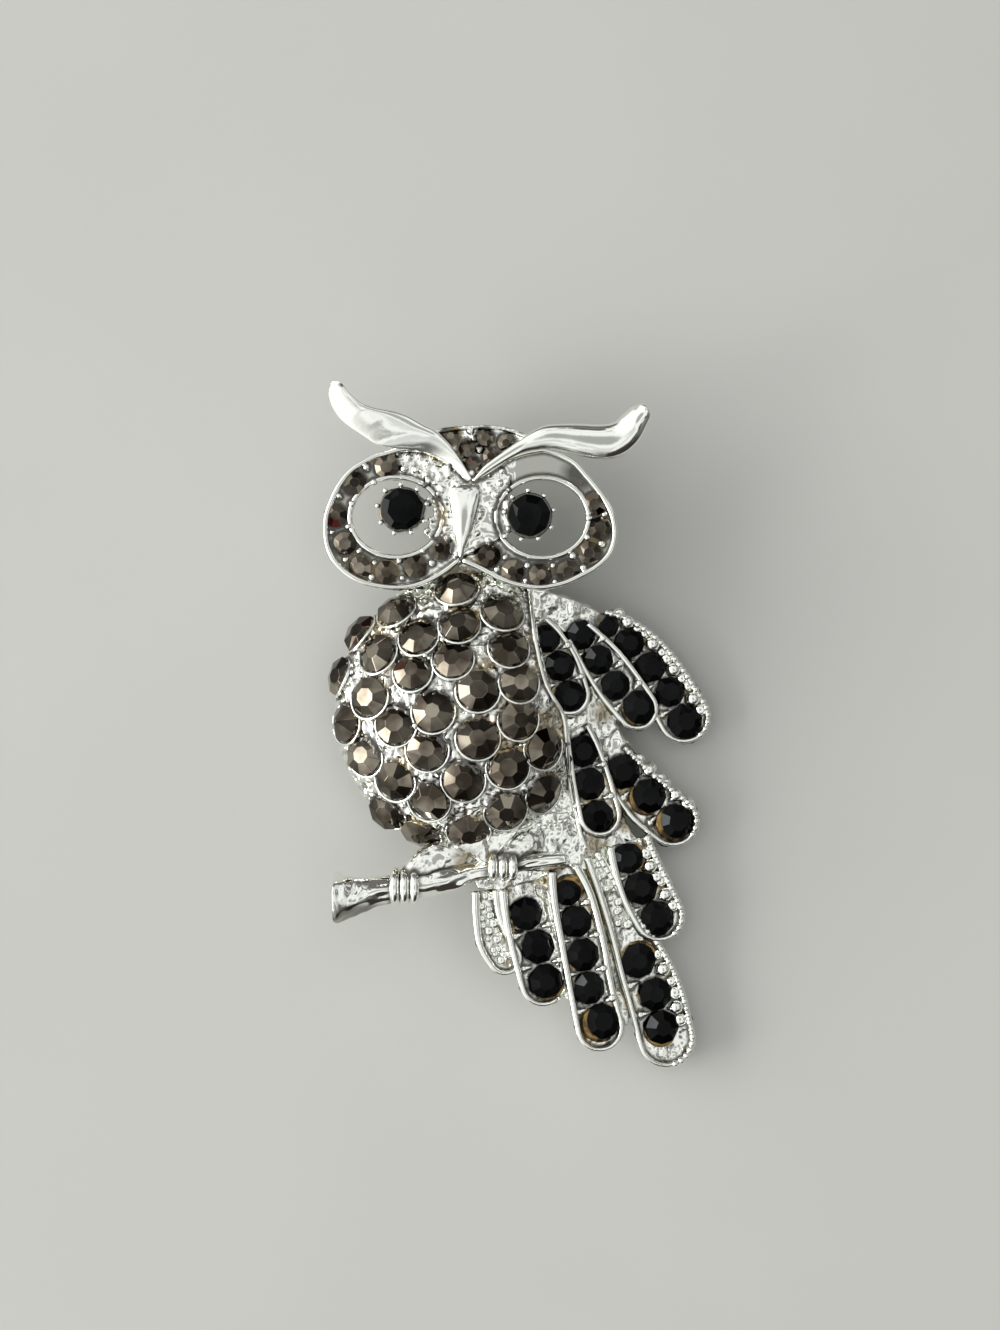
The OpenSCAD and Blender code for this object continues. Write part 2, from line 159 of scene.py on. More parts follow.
world = bpy.data.worlds.new("room")
bpy.context.scene.world = world
world.use_nodes = True
room = world.node_tree
room.nodes.clear()
heading = room.nodes.new("ShaderNodeTexCoord").outputs["Generated"]
x, y, z = add_node(room, "ShaderNodeSeparateXYZ", {0: heading}).outputs
clutter = clouds(room, heading, 3.1, 1.5)


def room_mask(source, start, end):
    """0 at start and 1 at end of one part of the heading"""
    return between(room, source, start, end, kind="SMOOTHSTEP")


shelves = calculated(room, "MULTIPLY", room_mask(clutter, 0.52, 0.58), room_mask(z, 0.88, 0.74))
near_wall = calculated(room, "MULTIPLY", room_mask(y, -0.6, -0.8), room_mask(x, -0.2, 0.05))
far_wall = calculated(room, "MULTIPLY", room_mask(y, 0.6, 0.85), room_mask(z, 0.55, 0.3))
low_part, right_wall, left_wall = room_mask(z, 0.66, 0.42), room_mask(x, 0.5, 0.85), room_mask(x, -0.2, -0.5)
pale_things, ceiling = room_mask(clutter, 0.45, 0.36), room_mask(z, 0.95, 0.985)
walls = (1.3, 1.31, 1.28, 1)
for mask, colour in ((low_part, (0.2, 0.195, 0.19, 1)), (right_wall, (0.24, 0.225, 0.21, 1)),
                     (shelves, (0.18, 0.175, 0.17, 1)), (pale_things, (0.95, 0.96, 0.95, 1)),
                     (left_wall, (1.6, 1.6, 1.55, 1)), (near_wall, (0.06, 0.048, 0.042, 1)),
                     (far_wall, (0.22, 0.21, 0.2, 1)), (ceiling, (0.56, 0.56, 0.54, 1))):
    walls = blended(room, mask, walls, colour)
glow = add_node(room, "ShaderNodeBackground", {"Color": walls, "Strength": 0.74})
add_node(room, "ShaderNodeOutputWorld", {"Surface": glow.outputs[0]})

CAMERA_HEIGHT = 0.3
VIEW_MIDDLE = Vector((-0.00164, 0.00582, 0.005))
SEEN_HEIGHT = 0.1209
eyepiece = bpy.data.cameras.new("camera")
eyepiece.sensor_width = 36
eyepiece.lens = eyepiece.sensor_width * CAMERA_HEIGHT / SEEN_HEIGHT
eyepiece.clip_start = 0.01
camera = bpy.data.objects.new("camera", eyepiece)
camera.location = VIEW_MIDDLE + Vector((0, 0, CAMERA_HEIGHT))
bpy.context.collection.objects.link(camera)
bpy.context.scene.camera = camera
bpy.context.scene.view_settings.view_transform = "Standard"

# Plated metal
# White metal casting with a bright silvery plating. The skin is pitted between the features,
# with a warm tarnish in places, painted shade, partly tarnish, in the pits and beside raised parts,
# and polished smooth on the tufts and the rims.

# Forms are made in millimetres and shrunk to metres at the end. Places are in hundredths of the
# brooch's height, counted from the middle of its outline.
MM = 0.001
HUNDREDTH = (box_at_load[1].y - box_at_load[0].y) / MM / 100
skin, given, out = node_group("cast_skin", [("Pit Size", VALUE), ("Tarnish", VALUE)],
                              [("Color", COLOUR), ("Roughness", VALUE), ("Height", VALUE)])
where = skin.nodes.new("ShaderNodeTexCoord").outputs["Object"]


def skin_noise(per_metre, detail):
    """Clouds that grow with the size of the pits"""
    return clouds(skin, where, calculated(skin, "DIVIDE", per_metre, given["Pit Size"]), detail)


def stored(tree, name):
    """What is kept under a name at each point or facet of a piece"""
    return add_node(tree, "ShaderNodeAttribute", {}, attribute_name=name).outputs["Fac"]


pits = skin_noise(2600, 3)
worn = calculated(skin, "MULTIPLY", between(skin, skin_noise(700, 4), 0.58, 0.76), given["Tarnish"])
tint = blended(skin, worn, (0.925, 0.94, 0.895, 1), (0.4, 0.31, 0.22, 1))
# The hollow mark paints shade, partly tarnish, into the pits and beside raised parts: dark brown, golden
# where warm.
shade_and_tarnish_share = calculated(skin, "MULTIPLY", stored(skin, "hollow"), 0.9)
shade_and_tarnish = blended(skin, stored(skin, "warm"), (0.05, 0.042, 0.036, 1), (0.2, 0.135, 0.04, 1))
rough = calculated(skin, "ADD", calculated(skin, "MULTIPLY", pits, 0.08), 0.03)
rough = calculated(skin, "ADD", rough, calculated(skin, "MULTIPLY", shade_and_tarnish_share, 0.2))
feed(out, {"Color": blended(skin, shade_and_tarnish_share, tint, shade_and_tarnish), "Roughness": rough, "Height": pits})


def plated(name, pit_size, tarnish, depth):
    """Plated metal with pits of a size (mm), a share of tarnish and a depth of relief (mm)"""
    material, tree, shader = new_material(name)
    grain = add_node(tree, "ShaderNodeGroup", {"Pit Size": pit_size, "Tarnish": tarnish}, node_tree=skin)
    colour, roughness, height = grain.outputs
    relief = add_node(tree, "ShaderNodeBump", {"Strength": 1, "Distance": depth * MM, "Height": height})
    feed(shader, {"Metallic": 1, "Base Color": colour, "Roughness": roughness,
                  "Normal": relief.outputs["Normal"]})
    return material


cast_metal = plated("cast_metal", 1.4, 0.4, 0.03)
bright_metal = plated("bright_metal", 4, 0.12, 0.05)
polished_metal = plated("polished_metal", 6, 0.05, 0.03)


def flow(points, steps=5):
    """A smooth line through points"""
    line = []
    for i in range(len(points) - 1):
        a, b, c, d = points[max(i - 1, 0)], points[i], points[i + 1], points[min(i + 2, len(points) - 1)]
        for s in range(steps):
            t = s / steps
            line.append(0.5 * (2 * b + (c - a) * t + (2 * a - 5 * b + 4 * c - d) * t ** 2
                               + (3 * b - a - 3 * c + d) * t ** 3))
    return line + [points[-1]]


def loft(rings):
    """A closed form through rings of points"""
    count = len(rings[0])
    verts = [point for ring in rings for point in ring]
    faces = []
    for first in range(0, len(verts) - count, count):
        faces += [[first + k, first + (k + 1) % count, first + count + (k + 1) % count, first + count + k]
                  for k in range(count)]
    last = len(verts) - count
    return verts, faces + [list(range(count))[::-1], [last + k for k in range(count)]]


def rod(path, radii, sides=8):
    """A closed round rod along a path, with one radius or one for each point"""
    if isinstance(radii, (int, float)):
        radii = [radii] * len(path)
    rings, across = [], None
    for i, point in enumerate(path):
        ahead = (path[min(i + 1, len(path) - 1)] - path[max(i - 1, 0)]).normalized()
        across = across or ahead.orthogonal()
        across = (across - ahead * across.dot(ahead)).normalized()
        up = ahead.cross(across)
        turns = [tau * k / sides for k in range(sides)]
        rings.append([point + radii[i] * (across * cos(a) + up * sin(a)) for a in turns])
    return loft(rings)


ball = bmesh.new()
bmesh.ops.create_icosphere(ball, subdivisions=2, radius=1)
ball_verts = [v.co.copy() for v in ball.verts]
ball_faces = [[v.index for v in f.verts] for f in ball.faces]
ball.free()


def bead(centre, radius, squash=1):
    """A small ball of metal, flattened along Z if asked"""
    return [centre + Vector((v.x, v.y, v.z * squash)) * radius for v in ball_verts], ball_faces


def slab(loops, top, bottom):
    """A plate with an outline, and holes if more loops follow, between two heights"""
    flat = [[Vector((p[0], p[1], 0)) for p in loop] for loop in loops]
    corners = [p for loop in flat for p in loop]
    count = len(corners)
    verts = [Vector((p.x, p.y, top(p.x, p.y))) for p in corners]
    verts += [Vector((p.x, p.y, bottom(p.x, p.y))) for p in corners]
    lids = geometry.tessellate_polygon(flat)
    faces = [list(f) for f in lids] + [[i + count for i in f[::-1]] for f in lids]
    first = 0
    for loop in flat:
        ids = [first + k for k in range(len(loop))]
        faces += [[a, b, b + count, a + count] for a, b in zip(ids, ids[1:] + ids[:1])]
        first += len(loop)
    return verts, faces


def pitted(point, size):
    """Height of a cast skin at a point, about -1 to 1: shallow dents with smaller pits in them"""
    return 0.8 * noise.noise(point / size) + 0.3 * noise.noise(point * 2.1 / size + Vector((7, 3, 1)))


def joined(forms):
    """The corners and faces of several forms as one list"""
    verts, faces = [], []
    for form_verts, form_faces in forms:
        first = len(verts)
        verts += form_verts
        faces += [[first + i for i in face] for face in form_faces]
    return verts, faces


# Width (mm) of the painted shade beside raised forms
PAINTED_SHADE_LINE = 0.22


def cast(name, forms, material, grain=0, pits=0, pit_size=0.7, soften=2, where=None, beside=(), dark_patch=None,
         pit_shade_offset=0.6, amber=()):
    """Runs forms (mm) together into one cast skin, and sets it on the owl. Grain 0 keeps the forms crisp.
    Painted shade, partly tarnish, lies in the deeper pits, and painted shade in a thin line beside the forms
    named in beside. The skin is brown at the places in amber (hundredths, and a radius in mm)."""
    verts, faces = joined(forms)
    mesh = bpy.data.meshes.new(name)
    mesh.from_pydata(verts, [], faces)
    draft = bmesh.new()
    draft.from_mesh(mesh)
    bmesh.ops.recalc_face_normals(draft, faces=draft.faces)
    draft.to_mesh(mesh)
    draft.free()
    piece = bpy.data.objects.new(name, mesh)
    bpy.context.collection.objects.link(piece)
    if grain:
        skin = piece.modifiers.new("skin", "REMESH")
        skin.mode, skin.voxel_size = "VOXEL", grain
        smooth = piece.modifiers.new("smooth", "SMOOTH")
        smooth.factor, smooth.iterations = 0.5, soften
        mesh = bpy.data.meshes.new_from_object(piece.evaluated_get(bpy.context.evaluated_depsgraph_get()))
        piece.modifiers.clear()
        piece.data = mesh
        mesh.name = name
    near = bvhtree.BVHTree.FromPolygons(*joined(beside)) if beside else None
    hollow, warm, moved = [], [], []
    for v in mesh.vertices:
        dent = pitted(v.co, pit_size) * (where(v.co) if where else 1) if pits else 0
        # Painted shade, partly tarnish, in the deeper pits, and painted shade in a thin line beside other
        # forms
        shade_and_tarnish = min(1, max(0, -2.2 * dent - pit_shade_offset))
        gap = near.find_nearest(v.co, 0.4)[3] if near else None
        if gap is not None:
            shade_and_tarnish = max(shade_and_tarnish, min(1, 1.7 - gap / PAINTED_SHADE_LINE))
        glow = max([0] + [1.7 - 1.7 * (v.co.xy - Vector(spot) * HUNDREDTH).length / r for spot, r in amber])
        brown = min(1, glow * (0.9 + 0.7 * noise.noise(v.co / 0.6)))
        hollow.append(max(0, shade_and_tarnish, 0.82 * brown, dark_patch(v.co) if dark_patch else 0))
        warm.append(max(brown, min(1, max(0, 3 * noise.noise(v.co / 2.6 + Vector((3, 8, 5))) - 0.5))))
        moved.extend(v.co + v.normal * pits * dent)
    mesh.vertices.foreach_set("co", moved)
    mesh.attributes.new("hollow", "FLOAT", "POINT").data.foreach_set("value", hollow)
    mesh.attributes.new("warm", "FLOAT", "POINT").data.foreach_set("value", warm)
    mesh.transform(Matrix.Scale(MM, 4))
    mesh.materials.append(material)
    mesh.shade_smooth()
    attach(piece, "root")
    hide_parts("casting")
    return piece


# Belly
# A hollow dome in the shape of an egg, covered with a scale for each stone: a cup
# with a raised rim round its lower side. Its right side stops along the wing.
BACK_Z = 3.6
CREST = (-5.6, 2)
CREST_Z = 10.8
BELLY_REACH = {"left": 21.2, "right": 15.2, "up": 21.9, "down": 19.9}
BELLY_STONES = [
    (-8.9, 20.3), (-17.7, 17.3), (-14.4, 13.4), (-8.5, 15.2), (-2.3, 17), (-1.4, 11.8), (-22.9, 13.9),
    (-20.3, 11), (-15.2, 8.4), (-9.4, 10.2), (-5.8, 5.7), (0.1, 6.8), (-25.8, 7.6), (-21.5, 4.7),
    (-17.6, 0.8), (-12.2, 2.7), (0, 1.5), (-25, 1), (-22.2, -3.7), (-13.1, -2.8), (-5.8, -1.1),
    (3.6, -2.6), (-1.5, -5.3), (-17.8, -7.3), (-7.9, -7.2), (3.7, -9.2), (-12.9, -10.2), (-19, -11.9),
    (-1.8, -11.7), (-14.2, -15), (-7.2, -14.8)]
BELLY_EDGE = [(1.6, 20.5), (2, 18.6), (2.6, 13), (4.2, 6.5), (6.6, 2.2), (7.2, -2.3), (7.9, -9),
              (9.2, -14.6), (10.2, -17.6)]
BELLY_STONE_D = 3.2
SHELL_T = 1.25
CUP_WALL = 0.1
SCALE_RIM_R = 0.15
EDGE_RIM_R = 0.22


def mm2(p):
    """A place in hundredths of the height, in millimetres"""
    return Vector((p[0] * HUNDREDTH, p[1] * HUNDREDTH, 0))


def raised(place, height):
    """A place moved up by a height, in millimetres"""
    return place + Vector((0, 0, height))


def at_height(p, z):
    """A place in hundredths at a height, in millimetres"""
    return raised(mm2(p), z)


def belly_reach(dx, dy, inset=0):
    """Half axes of the belly's outline towards a side, in millimetres"""
    across = BELLY_REACH["left" if dx < 0 else "right"]
    along = BELLY_REACH["down" if dy < 0 else "up"]
    return across * HUNDREDTH - inset, along * HUNDREDTH - inset


def on_belly(p):
    """The place on the dome above p, and the direction that is square to it"""
    flat, crest = mm2(p), mm2(CREST)
    dx, dy = flat.x - crest.x, flat.y - crest.y
    rx, ry = belly_reach(dx, dy)
    rise = CREST_Z - BACK_Z
    up = sqrt(max(0.02, 1 - (dx / rx) ** 2 - (dy / ry) ** 2))
    out = Vector((dx / rx ** 2, dy / ry ** 2, up / rise)).normalized()
    return Vector((flat.x, flat.y, BACK_Z + rise * up)), out


def belly_share(p):
    """The belly stone's size at p, as a share of the usual one: as large as its neighbours let it be"""
    nearest = min((on_belly(p)[0] - on_belly(q)[0]).length for q in BELLY_STONES if q != p)
    return min(1.17, 1.08 * nearest / BELLY_STONE_D)


def belly_side(y):
    """How far the belly reaches to the right at a height in the picture, in millimetres"""
    edge = [mm2(p) for p in BELLY_EDGE]
    if y >= edge[0].y:
        return edge[0].x
    for a, b in zip(edge, edge[1:]):
        if y >= b.y:
            return a.x + (b.x - a.x) * (a.y - y) / (a.y - b.y)
    return edge[-1].x


def belly_skin(inset, rings, slices):
    """Rings of points down the dome, which stop at the wing"""
    crest = mm2(CREST)
    skin = []
    for i in range(rings + 1):
        ring = []
        for k in range(slices):
            a = tau * k / slices
            rx, ry = belly_reach(cos(a), sin(a), inset)
            dx, dy = rx * cos(a), ry * sin(a)
            limit = 1.0
            while limit > 0.05 and crest.x + dx * limit > belly_side(crest.y + dy * limit) - inset:
                limit -= 0.01
            out = limit * sin(pi / 2 * max(i, 0.02) / rings)
            rise = (CREST_Z - BACK_Z - inset) * sqrt(max(0, 1 - out ** 2))
            ring.append(Vector((crest.x + dx * out, crest.y + dy * out, BACK_Z + rise)))
        skin.append(ring)
    return skin


def ring_frame(normal):
    """Two directions in a stone's plane: to the viewer's right and towards the tail"""
    right = Vector((1, 0, 0)) - normal * normal.x
    right.normalize()
    return right, right.cross(normal)


def scale_rim(p, radius, spread, thick):
    """The raised rim round the lower side of a belly stone"""
    place, normal = on_belly(p)
    right, down = ring_frame(normal)
    path = []
    for k in range(15):
        a = radians(-spread + (180 + 2 * spread) * k / 14)
        sink = 0.25 * abs(cos(a)) ** 3
        path.append(place + normal * (0.22 - sink) + (right * cos(a) + down * sin(a)) * radius)
    return rod(path, [thick * (0.45 + 0.55 * sin(pi * k / 14)) for k in range(15)], 8)


random.seed(11)
belly = [loft(belly_skin(0, 12, 64) + belly_skin(SHELL_T, 12, 64)[::-1])]
for p in BELLY_STONES:
    place, normal = on_belly(p)
    belly.append(rod([place - normal * 0.6, place + normal * 0.1], BELLY_STONE_D / 2 + CUP_WALL, 16))
edge = flow([mm2(p) for p in BELLY_EDGE])
edge_path = [Vector((p.x - 0.12, p.y, on_belly((p.x / HUNDREDTH, p.y / HUNDREDTH))[0].z + 0.1)) for p in edge]
belly.append(slab([[p + Vector((0.05, 0, 0)) for p in edge] + [p - Vector((0.5, 0, 0)) for p in edge[::-1]]],
                  lambda x, y: on_belly((x / HUNDREDTH, y / HUNDREDTH))[0].z, lambda x, y: 4.6))
scales = [scale_rim(p, BELLY_STONE_D / 2 * belly_share(p) + 0.15, 18, SCALE_RIM_R) for p in BELLY_STONES]
scales.append(rod(edge_path, EDGE_RIM_R, 10))
seats = [on_belly(p)[0] for p in BELLY_STONES]
for i, a in enumerate(seats):
    for j, b in enumerate(seats[:i]):
        for c in seats[:j]:
            middle = (a + b + c) / 3
            if max((middle - q).length for q in (a, b, c)) < 0.76 * BELLY_STONE_D:
                place, normal = on_belly((middle.x / HUNDREDTH, middle.y / HUNDREDTH))
                for k in range(2):
                    aside = Vector((random.uniform(-0.3, 0.3), random.uniform(-0.3, 0.3), 0))
                    scales.append(bead(place + normal * 0.2 + aside, random.uniform(0.16, 0.32)))
stones = []
for p in BELLY_STONES:
    place, normal = on_belly(p)
    stones.append(rod([place, place + normal * 0.6], BELLY_STONE_D / 2 * belly_share(p) + 0.04, 16))
# Painted shade lies beside the scales and stones. The first amber spot, at the neck under the beak, is
# painted shade in golden brown; the others are stains.
cast("belly_shell", belly, cast_metal, grain=0.14, pits=0.36, pit_size=0.55, pit_shade_offset=0.1,
     beside=scales + stones,
     amber=[((-8.4, 22.4), 2.6), ((-20.2, 13.9), 1.7), ((-2.2, -2), 1.7), ((4.4, 1.6), 1.6),
            ((-10.4, -17.6), 1.5), ((-16.4, -4.9), 1.3), ((-4.6, 9.3), 1.2)])
cast("belly_scales", scales, bright_metal)

# Smoky stones
# Round glass stones with a smoky brown grey mirror coat: an eight sided table, eight long
# facets round it, and a low pointed back. The coat glints red where it is thin.
SIDES = 8
GIRDLE_R = 0.99
GIRDLE_TOP = 0.1
GIRDLE_FOOT = -0.04
BACK_DEPTH = 0.55
SQUARED = 0.7
WORN_EDGE = 0.016
STONE_LIFT = 0.15
BELLY_STONE_LIFT = 0.01
UP = Vector((0, 0, 1))


def leftness(facet):
    """Lower for a facet further to the left, and a little lower for one further up"""
    middle = facet.calc_center_median()
    return middle.x - 0.3 * middle.y


def cut_stone(name, places, diameter, material, node, table=0.5, crown=0.3, tilt=4, lit=0):
    """Cut stones at places (point, direction, size share), as one piece that stands for a node.
    Table and crown are shares of the radius. A share of the stones, lit, has a painted highlight on one facet
    on the left, towards the window."""
    form = bmesh.new()
    highlight_facet = form.faces.layers.int.new("highlight_facet")
    flat = form.faces.layers.int.new("flat")
    for centre, normal, share in places:
        r = diameter / 2 * share
        lean = Vector((random.uniform(-1, 1), random.uniform(-1, 1), 0)) * tan(radians(tilt))
        turn = Matrix.Translation(centre) @ (normal + lean).to_track_quat("Z", "Y").to_matrix().to_4x4()
        turn = turn @ Matrix.Rotation(random.uniform(0, pi / 4), 4, "Z")
        half = pi / SIDES
        wide = table * random.uniform(0.86, 1.14)
        slope = (crown - GIRDLE_TOP) / ((GIRDLE_R - wide) * cos(half))

        def corner(a, out, z):
            return form.verts.new(turn @ Vector((out * r * cos(a), out * r * sin(a), z * r)))

        top = [corner(2 * half * k + random.uniform(-0.09, 0.09), wide, crown) for k in range(SIDES)]
        edge, under = [], []
        for k in range(SIDES * 4):
            a = half * k / 2
            off = a % (2 * half) - half
            out = GIRDLE_R * (1 - SQUARED * (1 - cos(half) / cos(off)))
            fall = slope * (out * cos(off) - GIRDLE_R * cos(half))
            edge.append(corner(a, out, GIRDLE_TOP - fall))
            under.append(corner(a, out - 0.02, GIRDLE_FOOT))
        culet = form.verts.new(turn @ Vector((0, 0, -BACK_DEPTH * r)))
        form.faces.new(top)[flat] = 1
        crown_facets = []
        for k in range(SIDES):
            rim = [edge[(4 * k + j) % len(edge)] for j in range(5)]
            crown_facets.append(form.faces.new([top[k], *rim, top[(k + 1) % SIDES]]))
        # A painted highlight: on a share of the stones the facet furthest to the left takes the glint colour.
        if random.random() < lit:
            min(crown_facets, key=leftness)[highlight_facet] = 1
        for k in range(len(edge)):
            after = (k + 1) % len(edge)
            form.faces.new((edge[k], under[k], under[after], edge[after]))
            form.faces.new((under[k], culet, under[after]))
    bmesh.ops.recalc_face_normals(form, faces=form.faces)
    crisp = [e for e in form.edges if len(e.link_faces) == 2 and e.calc_face_angle() > 0.35]
    bmesh.ops.bevel(form, geom=crisp, offset=WORN_EDGE, segments=1, affect="EDGES")
    bmesh.ops.recalc_face_normals(form, faces=form.faces)
    glint = form.faces.layers.float.new("glint")
    for face in form.faces:
        face[glint] = 1 if face[highlight_facet] else random.random() * (0.9 if lit or face[flat] else 1)
    mesh = bpy.data.meshes.new(name)
    form.to_mesh(mesh)
    form.free()
    mesh.transform(Matrix.Scale(MM, 4))
    mesh.materials.append(material)
    piece = bpy.data.objects.new(name, mesh)
    bpy.context.collection.objects.link(piece)
    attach(piece, "root")
    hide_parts(node)


def coated_glass(name, light, dark, glint_colour, glint_from, metallic, roughness):
    """Coated glass: a tone that changes from stone to stone, a painted reflection that makes each facet
    lighter or darker at random, and a few facets in the glint colour
    """
    material, tree, shader = new_material(name)
    tone = cloudy_tone(tree, 420, 0.38, 0.62, dark, light)
    glint = stored(tree, "glint")
    colour = blended(tree, between(tree, glint, glint_from, glint_from + 0.02), tone, glint_colour)
    # Painted reflections: each facet's colour is scaled at random, as if it mirrored a lighter or darker part
    # of the room.
    scattered = calculated(tree, "FRACT", calculated(tree, "MULTIPLY", glint, 17.3))
    depth = between(tree, scattered, 0, 1, 0.1, 1.45)
    facet = add_node(tree, "ShaderNodeVectorMath", {0: colour, "Scale": depth}, operation="SCALE")
    feed(shader, {"Base Color": facet.outputs[0], "Metallic": metallic, "Roughness": roughness,
                  "Specular IOR Level": 0.5 if metallic else 0.1})
    return material


smoky = coated_glass("smoky_glass", (0.237, 0.211, 0.17, 1), (0.087, 0.071, 0.054, 1),
                     (0.055, 0.006, 0.004, 1), glint_from=0.962, metallic=0.92, roughness=0.03)
random.seed(4)
STEEPEST = radians(50)
POINTED_STONE = 18
for number, p in enumerate(BELLY_STONES, 1):
    place, normal = on_belly(p)
    if normal.z < cos(STEEPEST):
        flat = Vector((normal.x, normal.y, 0)).normalized()
        normal = flat * sin(STEEPEST) + UP * cos(STEEPEST)
    # The stones lean a little towards the head.
    normal = (normal + Vector((0, 0.13, 0))).normalized()
    table, crown = (0.1, 0.7) if number == POINTED_STONE else (0.42, 0.43)
    cut_stone(f"smoky_stone_{number:02d}", [(place + normal * BELLY_STONE_LIFT, normal, belly_share(p))],
              BELLY_STONE_D, smoky, f"belly_stone_{number:02d}", table, crown, tilt=10)

# Wing and tail
# Ten feathers lie over each other like the blades of a fan. Each is a trough with a raised
# rim, cast in one with the shoulder and the web between them. The outer rims are beaded.
PLATE_T = 1.3
FEATHER_STEP = 0.3
WING_SLOPE = 0.25
WING_EDGE_X = 28.5 * HUNDREDTH
RIM_H = 0.6
RIM_R = 0.25
FEATHER_STONE_D = 3.1
NUGGET_R = (0.45, 0.68)
# level, sections with x, y and half width, stones with x, y and size share, and what its right rim is
FEATHERS = [
    (3, [(3.2, 15.6, 1.3), (4.5, 13.2, 2.2), (6.1, 9.5, 2.9), (7.5, 5, 3.1)],
     [(4.1, 13.2, 0.82), (6.1, 9.2, 0.87), (7.5, 4.7, 0.93)], "smooth"),
    (2, [(8.8, 14.2, 2.2), (12, 10.2, 3.1), (14.6, 6.6, 3.4), (17.5, 2.9, 3.2)],
     [(9.2, 13.7, 0.84), (11.8, 10.1, 0.85), (14.3, 6.4, 0.84), (17.9, 3.2, 0.98)], "smooth"),
    (0, [(12, 15.9, 1.8), (15.2, 13.9, 2.8), (18.6, 10.8, 3.4), (21.5, 6.7, 3.8), (24.5, 1.7, 4)],
     [(13, 15.2, 0.74), (16.4, 12.6, 0.86), (19.6, 9.1, 0.88), (22.4, 5.4, 0.86), (24.7, 1, 1)],
     "beaded"),
    (2, [(8.6, 0.1, 1.9), (9.6, -3.1, 2.5), (10.8, -7.7, 3), (12, -12.6, 3.2)],
     [(9.5, -3.2, 0.91), (10.4, -8, 0.94), (11.7, -12.9, 0.95)], "smooth"),
    (0, [(14.2, -3.4, 2), (16.1, -7, 3.2), (19.3, -10.7, 3.8), (22.9, -13.6, 3.9)],
     [(15.4, -6.3, 1), (19.3, -9.9, 1), (23.4, -13.7, 1)], "beaded"),
    (1, [(16.2, -16.5, 3.2), (17.4, -20.3, 3.6), (19, -24.1, 3.9), (20.8, -27.6, 3.8)],
     [(16.1, -19, 0.88), (18.1, -23.4, 0.95), (20.5, -27.9, 1)], "beaded"),
    (0, [(10.8, -18.4, 1.2), (13.2, -23.5, 1.8), (15.5, -28.6, 2.5), (18.2, -34.1, 3.8), (20.3, -39.6, 4.3),
         (21.9, -45.7, 4.3)],
     [(17.7, -34.1, 1), (20.2, -39.1, 0.95), (21.2, -44, 0.98)], "beaded"),
    (2, [(6.6, -20.3, 2.2), (8, -25, 3.1), (9.5, -31.6, 3.4), (10.7, -38.1, 3.4), (12, -43.7, 3.6)],
     [(7.2, -23.8, 0.78), (8.5, -28.1, 0.9), (9.5, -33, 0.95), (10.4, -37.9, 0.92), (12.4, -42.8, 1)],
     "smooth"),
    (1, [(-0.4, -22.8, 2.3), (0.9, -26.9, 3.1), (2.2, -31.6, 3.4), (3.7, -37, 3.5)],
     [(1.2, -26.9, 0.93), (2.9, -31.7, 0.97), (4.1, -36.8, 0.97)], "none"),
    (0, [(-4.7, -23.5, 1.9), (-4.4, -27.2, 2.1), (-3.5, -30.8, 2.5), (-1.9, -33.3, 2.6)], [], "smooth")]
WEB = [(0, 17.5), (2, 19.5), (6.1, 19.7), (10.5, 18), (17.8, 5.7), (14.2, 1), (16.7, -2.3),
       (17.8, -6), (14.9, -11.8), (17.8, -17), (17.8, -20.6), (13.4, -25), (10.5, -20.6), (6.1, -21),
       (-2.6, -23.5), (-5.6, -23.2), (-7, -20.6), (-2, -16), (-1, 0)]
SHOULDER = [(1.2, 20.6), (4, 20.4), (8.5, 18.6), (13, 16.6), (11.5, 14.2), (7, 13.5), (3.4, 15.5),
            (1.5, 17)]
TAIL_WEB = [(-4, -22), (9, -20), (14, -24), (17.5, -34), (16, -43.5), (13.5, -43.5), (8, -40), (2, -37),
            (-2, -31)]
WING_AMBER = [((12.4, 2.4), 1.6), ((15.6, -13.2), 1.5), ((11, -16.6), 2)]
TAIL_AMBER = [((3.4, -21), 2.2), ((-3, -22.8), 1.9), ((13, -20.2), 0.8), ((10.4, -17.4), 2),
              ((-1.4, -33.6), 0.7)]


def wing_base(x):
    """Height of the wing's back at x (mm)"""
    return WING_SLOPE * (WING_EDGE_X - x)


def in_trough(place, level):
    """The place above another (mm) on the bed of a feather"""
    return raised(place, wing_base(place.x) + PLATE_T + level * FEATHER_STEP)


def feather_edges(sections, inset=0):
    """The line round a feather from its root, past the tip and back, and how many points are on one side"""
    line = flow([Vector(s) for s in sections], 6)
    left, right = [], []
    for i, p in enumerate(line):
        ahead = line[min(i + 1, len(line) - 1)] - line[max(i - 1, 0)]
        ahead = Vector((ahead.x, ahead.y, 0)).normalized()
        out = Vector((-ahead.y, ahead.x, 0)) * (p.z * HUNDREDTH - inset)
        middle = Vector((p.x, p.y, 0)) * HUNDREDTH
        left.append(middle + out)
        right.append(middle - out)
    radius = line[-1].z * HUNDREDTH - inset
    start = atan2(ahead.x, -ahead.y)
    turns = [start - pi * k / 12 for k in range(1, 12)]
    tip = [middle + radius * Vector((cos(a), sin(a), 0)) for a in turns]
    return left + tip + right[::-1], len(left)


